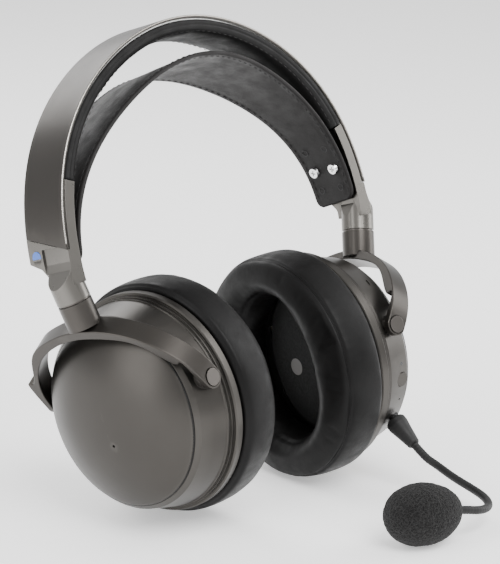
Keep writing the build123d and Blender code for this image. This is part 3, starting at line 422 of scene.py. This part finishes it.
def make_pad(side):
    na = 132
    rows = []
    for i in range(na):
        th = 2 * math.pi * i / na
        ri = inner_r(th)
        row = []
        for f, h in PROFILE:
            rad = ri + (OUT_R - ri) * f
            row.append(cup(side, rad * math.cos(th), rad * math.sin(th), h))
        rows.append(row)
    v, f = loop_grid(rows, True, True)
    pad = mesh_obj("pad_cushion_" + side, v, f, MATS["pad_leatherette"])
    o, a, b, c = CUP[side]
    sub = pad.modifiers.new("sub", "SUBSURF")
    sub.levels = sub.render_levels = 1
    apply_mods(pad)
    base = np.array([vv.co[:] for vv in pad.data.vertices])
    vg = pad.vertex_groups.new(name="pin")
    co = np.array(o[:]) * MM
    hh = (base - co) @ np.array(c[:]) / MM
    for i, h in enumerate(hh):
        w = 1.0 if h > -2.3 else 0.0
        if w:
            vg.add([i], w, "REPLACE")
    cl = pad.modifiers.new("cloth", "CLOTH")
    st = cl.settings
    st.quality = 5
    st.mass = 0.15
    st.use_pressure = True
    st.uniform_pressure_force = 4.0
    st.tension_stiffness = st.compression_stiffness = 18
    st.shear_stiffness = 8
    st.bending_stiffness = 0.5
    st.vertex_group_mass = "pin"
    st.effector_weights.gravity = 0
    st.shrink_min = -0.015
    sc = bpy.context.scene
    cl.point_cache.frame_start, cl.point_cache.frame_end = 1, 20
    for fr in range(1, 21):
        sc.frame_set(fr)
    dg = bpy.context.evaluated_depsgraph_get()
    ev = pad.evaluated_get(dg).to_mesh()
    new = np.array([vv.co[:] for vv in ev.vertices])
    pad.evaluated_get(dg).to_mesh_clear()
    pad.modifiers.clear()
    sc.frame_set(1)
    if new.shape == base.shape and np.isfinite(new).all():
        d = new - base
        ln = np.linalg.norm(d, axis=1, keepdims=True)
        cap = 0.0012
        d = d * np.minimum(1, cap / np.maximum(ln, 1e-9))
        base = base + d
        pad.data.vertices.foreach_set("co", base.ravel())
    # seams, gathers and wrinkles
    me = pad.data
    me.update()
    co = np.array(o[:]) * MM
    A, B, C = (np.array(x[:]) for x in (a, b, c))
    pos = np.array([vv.co[:] for vv in me.vertices])
    nrm = np.array([vv.normal[:] for vv in me.vertices])
    sd = 0.0 if side == "left" else 7.7
    for i in range(len(pos)):
        q = pos[i] - co
        fx, ux, hx = q @ A / MM, q @ B / MM, q @ C / MM
        th = math.atan2(ux, fx)
        rad = math.hypot(fx, ux)
        ri = inner_r(th)
        w = (rad - ri) / (OUT_R - ri)
        d = 0.0
        # soft waviness of the whole cushion
        d += 0.28 * noise.noise(Vector((math.cos(th) * 2.6, math.sin(th) * 2.6, hx * 0.09 + sd)))
        # gathers that run from the opening's edge over the face
        g = noise.noise(Vector((math.cos(th) * 11, math.sin(th) * 11, 3.1 + sd)))
        d += 0.30 * g * max(0, 1 - abs(w - 0.15) / 0.35) * (1 if hx < -8 else 0.4)
        # creases beside the side seam
        if w > 0.8:
            k = math.exp(-((hx + 17.5) / 3.0) ** 2)
            d += 0.22 * k * noise.noise(Vector((math.cos(th) * 17, math.sin(th) * 17, sd)))
        pos[i] = pos[i] + nrm[i] * d * MM
    me.vertices.foreach_set("co", pos.ravel())
    me.update()
    sub = pad.modifiers.new("sub", "SUBSURF")
    sub.levels = sub.render_levels = 1
    apply_mods(pad)
    # sewn groove round the side, and round the opening's edge
    me = pad.data
    pos = np.array([vv.co[:] for vv in me.vertices])
    nrm = np.array([vv.normal[:] for vv in me.vertices])
    q = (pos - co) / MM
    fx, ux, hx = q @ A, q @ B, q @ C
    rad = np.hypot(fx, ux)
    th = np.arctan2(ux, fx)
    ri = 1 / np.sqrt((np.cos(th) / 24.6) ** 2 + (np.sin(th) / 32.0) ** 2)
    w = (rad - ri) / (OUT_R - ri)
    d = -0.75 * np.exp(-((hx + SEAM_H) / 0.55) ** 2) * (w > 0.75)
    d += -0.4 * np.exp(-((hx + 19.5) / 0.9) ** 2) * (w < 0.3)
    pos = pos + nrm * (d * MM)[:, None]
    me.vertices.foreach_set("co", pos.ravel())
    me.update()
    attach(pad, "cup_" + side)
    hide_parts("ear_pad_" + side)
    # piping that closes the side seam
    pts, nm, p2 = [], [], []
    n = 220
    for i in range(n + 1):
        t = 2 * math.pi * i / n
        rs = inner_r(t) + (OUT_R - inner_r(t)) * 0.952 - 0.25
        pts.append(cup(side, rs * math.cos(t), rs * math.sin(t), -SEAM_H))
        p2.append(cup(side, (OUT_R + 0.55) * math.cos(t), (OUT_R + 0.55) * math.sin(t), -SEAM_H - 1.9))
        nm.append((a * math.cos(t) + b * math.sin(t)).normalized())
    pipe = tube("pad_piping_" + side, pts[:-1], 0.30 * MM, MATS["pad_leatherette"], closed=True)
    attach(pipe, "cup_" + side)
    # cloth stretched over the driver
    cl = nodes["pad_cloth_" + side]
    cq = np.array([vv.co[:] for vv in cl.data.vertices]) - co
    hmin, hmax = (cq @ C).min() / MM, (cq @ C).max() / MM
    rows = []
    for i in range(96):
        t = 2 * math.pi * i / 96
        ri = inner_r(t) + 1.0
        row = []
        for j in range(1, 21):
            s = j / 20
            sag = 0.35 * (1 - s * s) + 0.06 * noise.noise(Vector((s * 5 * math.cos(t), s * 5 * math.sin(t), sd)))
            row.append(cup(side, ri * s * math.cos(t), ri * s * math.sin(t), hmin - 0.05 - sag))
        rows.append(row)
    v, f = loop_grid(rows, True, False)
    v.append(cup(side, 0, 0, hmin - 0.40))
    f += [(i * 20, ((i + 1) % 96) * 20, len(v) - 1) for i in range(96)]
    cloth = mesh_obj("speaker_cloth_" + side, v, f, MATS["mesh_cloth"])
    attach(cloth, "cup_" + side)
    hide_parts("pad_cloth_" + side)
    return pad


SEAM_H = 20.2
for s in ("left", "right"):
    make_pad(s)


# ------------------------------------------------------------ band liner
ARCH = (95.10, 2.32, -0.30, 0.295)
STRAP = (79.72, -3.12, 1.26, 0.26)


def curve_pt(co, t, depth):
    def R(x):
        return co[0] + co[1] * math.cos(2 * x) + co[2] * math.cos(4 * x) + co[3] * math.cos(6 * x)
    e = 1e-4
    p0 = (R(t - e) * math.sin(t - e), R(t - e) * math.cos(t - e))
    p1 = (R(t + e) * math.sin(t + e), R(t + e) * math.cos(t + e))
    tx, tz = p1[0] - p0[0], p1[1] - p0[1]
    n = math.hypot(tx, tz)
    return R(t) * math.sin(t) + depth * (tz / n), 15.5 + R(t) * math.cos(t) - depth * (tx / n)


def arch_t(z, depth):
    lo, hi = 0.0, math.radians(125)
    for _ in range(50):
        mid = (lo + hi) / 2
        if curve_pt(ARCH, mid, depth)[1] > z:
            lo = mid
        else:
            hi = mid
    return lo


T_END = arch_t(50.8, 4.0) - math.radians(0.35)
SECT = [(-12.95, 2.15), (-12.98, 3.3), (-12.98, 4.0), (-12.6, 4.35), (-12.95, 4.7), (-12.9, 5.6), (-12.2, 6.9), (-10.4, 7.9),
        (-7.0, 8.45), (-2.5, 8.62), (2.5, 8.62), (7.5, 8.45), (11.0, 7.9), (12.9, 6.9), (13.5, 5.6), (13.55, 4.7),
        (13.2, 4.35), (13.58, 4.0), (13.58, 3.3), (13.55, 2.15)]
rows = []
NL = 200
for i in range(NL + 1):
    t = -T_END + 2 * T_END * i / NL
    row = []
    for j, (y, dp) in enumerate(SECT):
        dd = dp
        if 6 <= j <= 13:
            dd += 0.22 * noise.noise(Vector((t * 5.0, y * 0.12, 1.7))) + 0.10 * noise.noise(Vector((t * 22.0, y * 0.3, 4.2)))
        x, z = curve_pt(ARCH, t, dd)
        row.append(H(x, y, z) * MM)
    rows.append(row)
v, f = loop_grid(rows, False, True, caps=True)
liner = mesh_obj("band_liner_pad", v, f, MATS["liner_black"])
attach(liner, "headband")
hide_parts("headband_liner")
for y, nm_y in ((-12.2, -1), (12.8, 1)):
    pts, nm = [], []
    for i in range(NL * 2 + 1):
        t = -T_END * 0.985 + 2 * T_END * 0.985 * i / (NL * 2)
        x, z = curve_pt(ARCH, t, 7.25)
        x2, z2 = curve_pt(ARCH, t, 8.6)
        pts.append(H(x, y, z) * MM)
        nm.append((H(x2, y + nm_y * 1.2, z2) - H(x, y, z)).normalized())
    st = stitches("liner_stitch_%s" % ("front" if nm_y < 0 else "rear"), pts, nm, THREAD, 2.0, 1.2, 0.16)
    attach(st, "headband")

# thin bright metal tube along the skin's front and rear edges: a painted highlight on the skin's edge
for y, tag in ((-12.92, "front"), (13.52, "rear")):
    pts = []
    tl = arch_t(24.5, 0.4)
    for i in range(241):
        t = -tl + 2 * tl * i / 240
        x, z = curve_pt(ARCH, t, 0.42)
        pts.append(H(x, y, z) * MM)
    edge_highlight_tube = tube("skin_edge_highlight_" + tag, pts, 0.34 * MM, SKIN_EDGE_HIGHLIGHT)
    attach(edge_highlight_tube, "headband")

# ------------------------------------------------------------ suspension strap
fx = np.array([84.6, 77.5, 70.1, 55.5, 38.6, 20.1, 0.0])
pf = np.polyfit(fx ** 2, [-12.4, -13.5, -14.75, -17.2, -19.8, -21.8, -22.6], 3)
pr = np.polyfit(fx ** 2, [13.0, 14.1, 15.5, 18.2, 21.1, 23.3, 24.2], 3)
TS, TCO = math.sin(math.radians(5)), math.cos(math.radians(5))
MF = -22.6


def strap_at(t, y, depth):
    px, pz = curve_pt(STRAP, t, depth)
    w = (MF + pz * TS - y) / TCO
    return px, y, pz * TCO + TS * w


def strap_span(t):
    px, pz = curve_pt(STRAP, t, 0)
    yf, yr = np.polyval(pf, px * px), np.polyval(pr, px * px)
    z = strap_at(t, 0.3, 0)[2]
    if z < 19.5:
        k = 4.5 - math.sqrt(max(0.02, 4.5 ** 2 - min(4.4, 19.5 - z) ** 2))
        yf, yr = max(yf, -12.4) + k, min(yr, 13.0) - k
    return yf, yr


def strap_end():
    lo, hi = math.radians(60), math.radians(100)
    for _ in range(40):
        mid = (lo + hi) / 2
        if strap_at(mid, 0.3, 0)[2] > 15.1:
            lo = mid
        else:
            hi = mid
    return lo


TE = strap_end()
NS = 220
rows = []
for i in range(NS + 1):
    t = -TE + 2 * TE * i / NS
    yf, yr = strap_span(t)
    sec = []
    m = 26
    for side_s, order in ((1, range(m + 1)), (-1, range(m, -1, -1))):
        for j in order:
            w = j / m
            y = yf + (yr - yf) * (0.5 - 0.5 * math.cos(math.pi * w)) * 1.0
            e = min(y - yf, yr - y)
            half = 0.98 * math.sqrt(max(0.0, 1 - (1 - min(1, e / 1.0)) ** 2))
            fold = -0.10 if e > 3.4 else 0.0
            groove = -0.16 * math.exp(-((e - 3.3) / 0.45) ** 2)
            soft = 0.10 * noise.noise(Vector((t * 7, y * 0.09, 0.5 + side_s)))
            th_ = max(0.02, half + (fold + groove + (soft if e > 4 else 0) if e > 0.8 else 0))
            th_ = min(th_, 0.99)
            x, yy, z = strap_at(t, y, -side_s * th_)
            sec.append(H(x, yy, z) * MM)
    rows.append(sec)
v, f = loop_grid(rows, False, True, caps=True)
strap = mesh_obj("strap_leather", v, f, MATS["strap_leatherette"])
bm = bmesh.new(); bm.from_mesh(strap.data)
bmesh.ops.remove_doubles(bm, verts=bm.verts, dist=1e-6); bm.to_mesh(strap.data); bm.free()
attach(strap, "headband")
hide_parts("suspension_strap")
length = sum(math.dist(curve_pt(STRAP, -TE + 2 * TE * i / 100, 0), curve_pt(STRAP, -TE + 2 * TE * (i + 1) / 100, 0)) for i in range(100))
wid = [strap_span(-TE + 2 * TE * (i + .5) / 100) for i in range(100)]
for e, tag in ((2.6, "front"), (-2.6, "rear")):
    for dep, face in ((-1.0, "top"), (1.0, "under")):
        pts, nm = [], []
        for i in range(NS * 2 + 1):
            t = (-TE + 2 * TE * i / (NS * 2)) * 0.975
            yf, yr = strap_span(t)
            y = yf + e if e > 0 else yr + e
            p = H(*strap_at(t, y, dep * 0.97)) * MM
            q = H(*strap_at(t, y, dep * 2.97)) * MM
            pts.append(p)
            nm.append((q - p).normalized())
        st = stitches("strap_stitch_%s_%s" % (tag, face), pts, nm, THREAD, 2.2, 1.3, 0.17)
        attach(st, "headband")

# adjusting holes at the strap's ends, two rows of two free ones at each end; each is a raised black ring round a
# shallow closed dark disc, painted shade for the inside of the hole
def strap_t(y, z, depth):
    lo, hi = math.radians(20), math.radians(100)
    for _ in range(40):
        mid = (lo + hi) / 2
        if strap_at(mid, y, depth)[2] > z:
            lo = mid
        else:
            hi = mid
    return lo


hv, hf, rims = [], [], []
for sgn in (1, -1):
    for z in (41.4, 22.3):
        for y in (-6.0, 6.6):
            for dep in (1.0, -1.0):
                t = strap_t(y, z, dep) * sgn
                p = H(*strap_at(t, y, dep * 0.93)) * MM
                out = (H(*strap_at(t, y, dep * 2.93)) * MM - p).normalized()
                u1 = (H(*strap_at(t, y + 1, dep * 0.93)) * MM - p).normalized()
                u2 = out.cross(u1).normalized()
                base = len(hv)
                for rr, hh in ((1.75, 0.10), (1.55, 0.16), (1.35, 0.10), (1.25, -0.25), (0.7, -0.30)):
                    for k in range(20):
                        q = 2 * math.pi * k / 20
                        hv.append(p + (u1 * math.cos(q) + u2 * math.sin(q)) * rr * MM + out * hh * MM)
                for r0 in range(4):
                    for k in range(20):
                        a0, a1 = base + r0 * 20 + k, base + r0 * 20 + (k + 1) % 20
                        hf.append((a0, a1, a1 + 20, a0 + 20))
                hf.append(tuple(base + 80 + k for k in range(20)))
holes = mesh_obj("strap_holes_shade_discs", hv, hf, MATS["black_plastic"])
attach(holes, "headband")

# ------------------------------------------------------------ gooseneck
ROUTE = [(62.186, -27.353, 19.983), (61.84, -34.11, 15.72), (63.4, -39.4, 14.6), (62.2, -51.4, 11.6), (61.6, -62.9, 9.6),
         (58.6, -73.9, 8.7), (51.0, -82.5, 9.0), (40.5, -86.3, 10.8), (30.5, -83.5, 13.2), (18.85, -79.03, 13.84)]
mo, ma = Vector((64.886849, 25.628808, 54.636862)), Vector((-0.043333, -0.844962, -0.533068))
ROUTE[0] = tuple(mo + ma * (46.8 + 15.5 - 1.0))
ROUTE[1] = tuple(mo + ma * (46.8 + 15.5 + 8.0))
cu = bpy.data.curves.new("neck_line", "CURVE")
cu.dimensions = "3D"
sp = cu.splines.new("NURBS")
sp.points.add(len(ROUTE) - 1)
for p, q in zip(sp.points, ROUTE):
    p.co = (q[0] * MM, q[1] * MM, q[2] * MM, 1)
sp.order_u = 3
sp.use_endpoint_u = True
sp.resolution_u = 24
ob = bpy.data.objects.new("neck_line", cu)
bpy.context.scene.collection.objects.link(ob)
bpy.context.view_layer.update()
tmp = bpy.data.meshes.new_from_object(ob.evaluated_get(bpy.context.evaluated_depsgraph_get()))
line = [Vector(vv.co) for vv in tmp.vertices]
bpy.data.objects.remove(ob)
seg = [0.0]
for p, q in zip(line, line[1:]):
    seg.append(seg[-1] + (q - p).length)
pts, total = [], seg[-1]
step = 0.4 * MM
x = 0.0
while x <= total:
    i = min(len(seg) - 2, max(0, int(np.searchsorted(seg, x)) - 1))
    w = (x - seg[i]) / max(1e-9, seg[i + 1] - seg[i])
    pts.append(line[i].lerp(line[i + 1], w))
    x += step
neck = tube("gooseneck_skin", pts, lambda i: (1.84 + 0.06 * math.cos(i * 0.4 * 2 * math.pi / 1.6)) * MM, MATS["black_rubber"], n=20)
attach(neck, "boom_mic")
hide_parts("gooseneck")

# ------------------------------------------------------------ foam windscreen
FC = Vector((13.1, -76.935, 13.84))
fy = math.radians(-20)
FA, FB, FZ = Vector((math.cos(fy), math.sin(fy), 0)), Vector((-math.sin(fy), math.cos(fy), 0)), Vector((0, 0, 1))
rows = []
NA, NR = 110, 128
for i in range(NA + 1):
    a = math.pi * i / NA
    if i == NA:
        a = math.pi * 0.9995
    xx = -18.0 * math.cos(a)
    rr = 13.75 * (max(0.0, math.sin(a)) ** 0.92) * (1 + 0.06 * math.cos(a))
    if xx > 0 and rr < 2.0:
        rr, xx = 2.0, xx
    row = []
    for j in range(NR):
        q = 2 * math.pi * j / NR
        d = FB * math.cos(q) + FZ * math.sin(q)
        p = FC + FA * xx + d * rr
        nv = (FA * (xx / 18.0) + d * (rr / 13.8))
        if nv.length > 0:
            nv.normalize()
        dsp = -0.05 + 0.22 * noise.noise(p * 0.16) + 0.16 * noise.noise(p * 0.75) - 0.20 * abs(noise.noise(p * 1.6))
        if rr <= 2.0:
            dsp = 0
        q3 = p + nv * dsp
        q3.z = max(q3.z, 0.02)
        row.append(q3 * MM)
    rows.append(row)
v, f = loop_grid(rows, False, True, caps=True)
foam = mesh_obj("foam_ball", v, f, MATS["foam_black"])
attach(foam, "foam_cover")
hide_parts("windscreen")

# ------------------------------------------------------------ stage, light, camera
fl = bpy.data.meshes.new("floor")
bm = bmesh.new()
S = 4.0
ring = [(-S, -S), (S, -S), (S, S), (-S, S)]
bm.faces.new([bm.verts.new((x, y, -0.0002)) for x, y in ring])
bm.to_mesh(fl)
bm.free()
floor = bpy.data.objects.new("floor", fl)
bpy.context.scene.collection.objects.link(floor)
m, nt, b, tc = new_mat("floor_pale")
nz = noise_tex(nt, tc, 2.0, 2)
cr = ramp(nt, nz.outputs["Fac"], [(0.3, (0.95, 0.95, 0.95)), (0.7, (0.97, 0.97, 0.97))])
nt.links.new(cr.outputs["Color"], b.inputs["Base Color"])
b.inputs["Roughness"].default_value = 0.85
b.inputs["Emission Color"].default_value = (1, 1, 1, 1)
b.inputs["Emission Strength"].default_value = 0.45
fl.materials.append(m)

world = bpy.data.worlds.new("studio")
bpy.context.scene.world = world
world.use_nodes = True
world.node_tree.nodes["Background"].inputs["Color"].default_value = (1.0, 1.0, 1.0, 1)
world.node_tree.nodes["Background"].inputs["Strength"].default_value = 1.0


def area(name, loc, target, size, power, size_y=None):
    L = bpy.data.lights.new(name, "AREA")
    L.energy = power
    L.size = size
    if size_y:
        L.shape = "RECTANGLE"
        L.size_y = size_y
    o = bpy.data.objects.new(name, L)
    o.location = loc
    o.rotation_mode = "QUATERNION"
    o.rotation_quaternion = (Vector(target) - Vector(loc)).to_track_quat("-Z", "Y")
    bpy.context.scene.collection.objects.link(o)
    return o


area("key", (-0.15, -0.75, 0.95), (0, 0, 0.1), 0.7, 14)
area("side_left", (-0.95, 0.15, 0.45), (0, 0, 0.1), 0.6, 6.0, 0.9)
area("side_right", (0.85, -0.35, 0.5), (0, 0, 0.1), 0.5, 7.0, 0.9)
area("rear", (0.1, 0.9, 0.8), (0, 0, 0.1), 0.7, 8)

cam = bpy.data.cameras.new("camera")
co_ = bpy.data.objects.new("camera", cam)
bpy.context.scene.collection.objects.link(co_)
R = Matrix(((0.7188616, -0.695152, 0.0012874), (0.1829585, 0.1909847, 0.9643915), (-0.6706446, -0.6930285, 0.2644755))).transposed()
co_.matrix_world = Matrix.Translation(Vector((-0.74934754, -0.75673406, 0.39740784))) @ R.to_4x4()
cam.lens = 2500 / 564 * 36
cam.sensor_width = 36
cam.sensor_fit = "AUTO"
cam.clip_start, cam.clip_end = 0.05, 20
bpy.context.scene.camera = co_
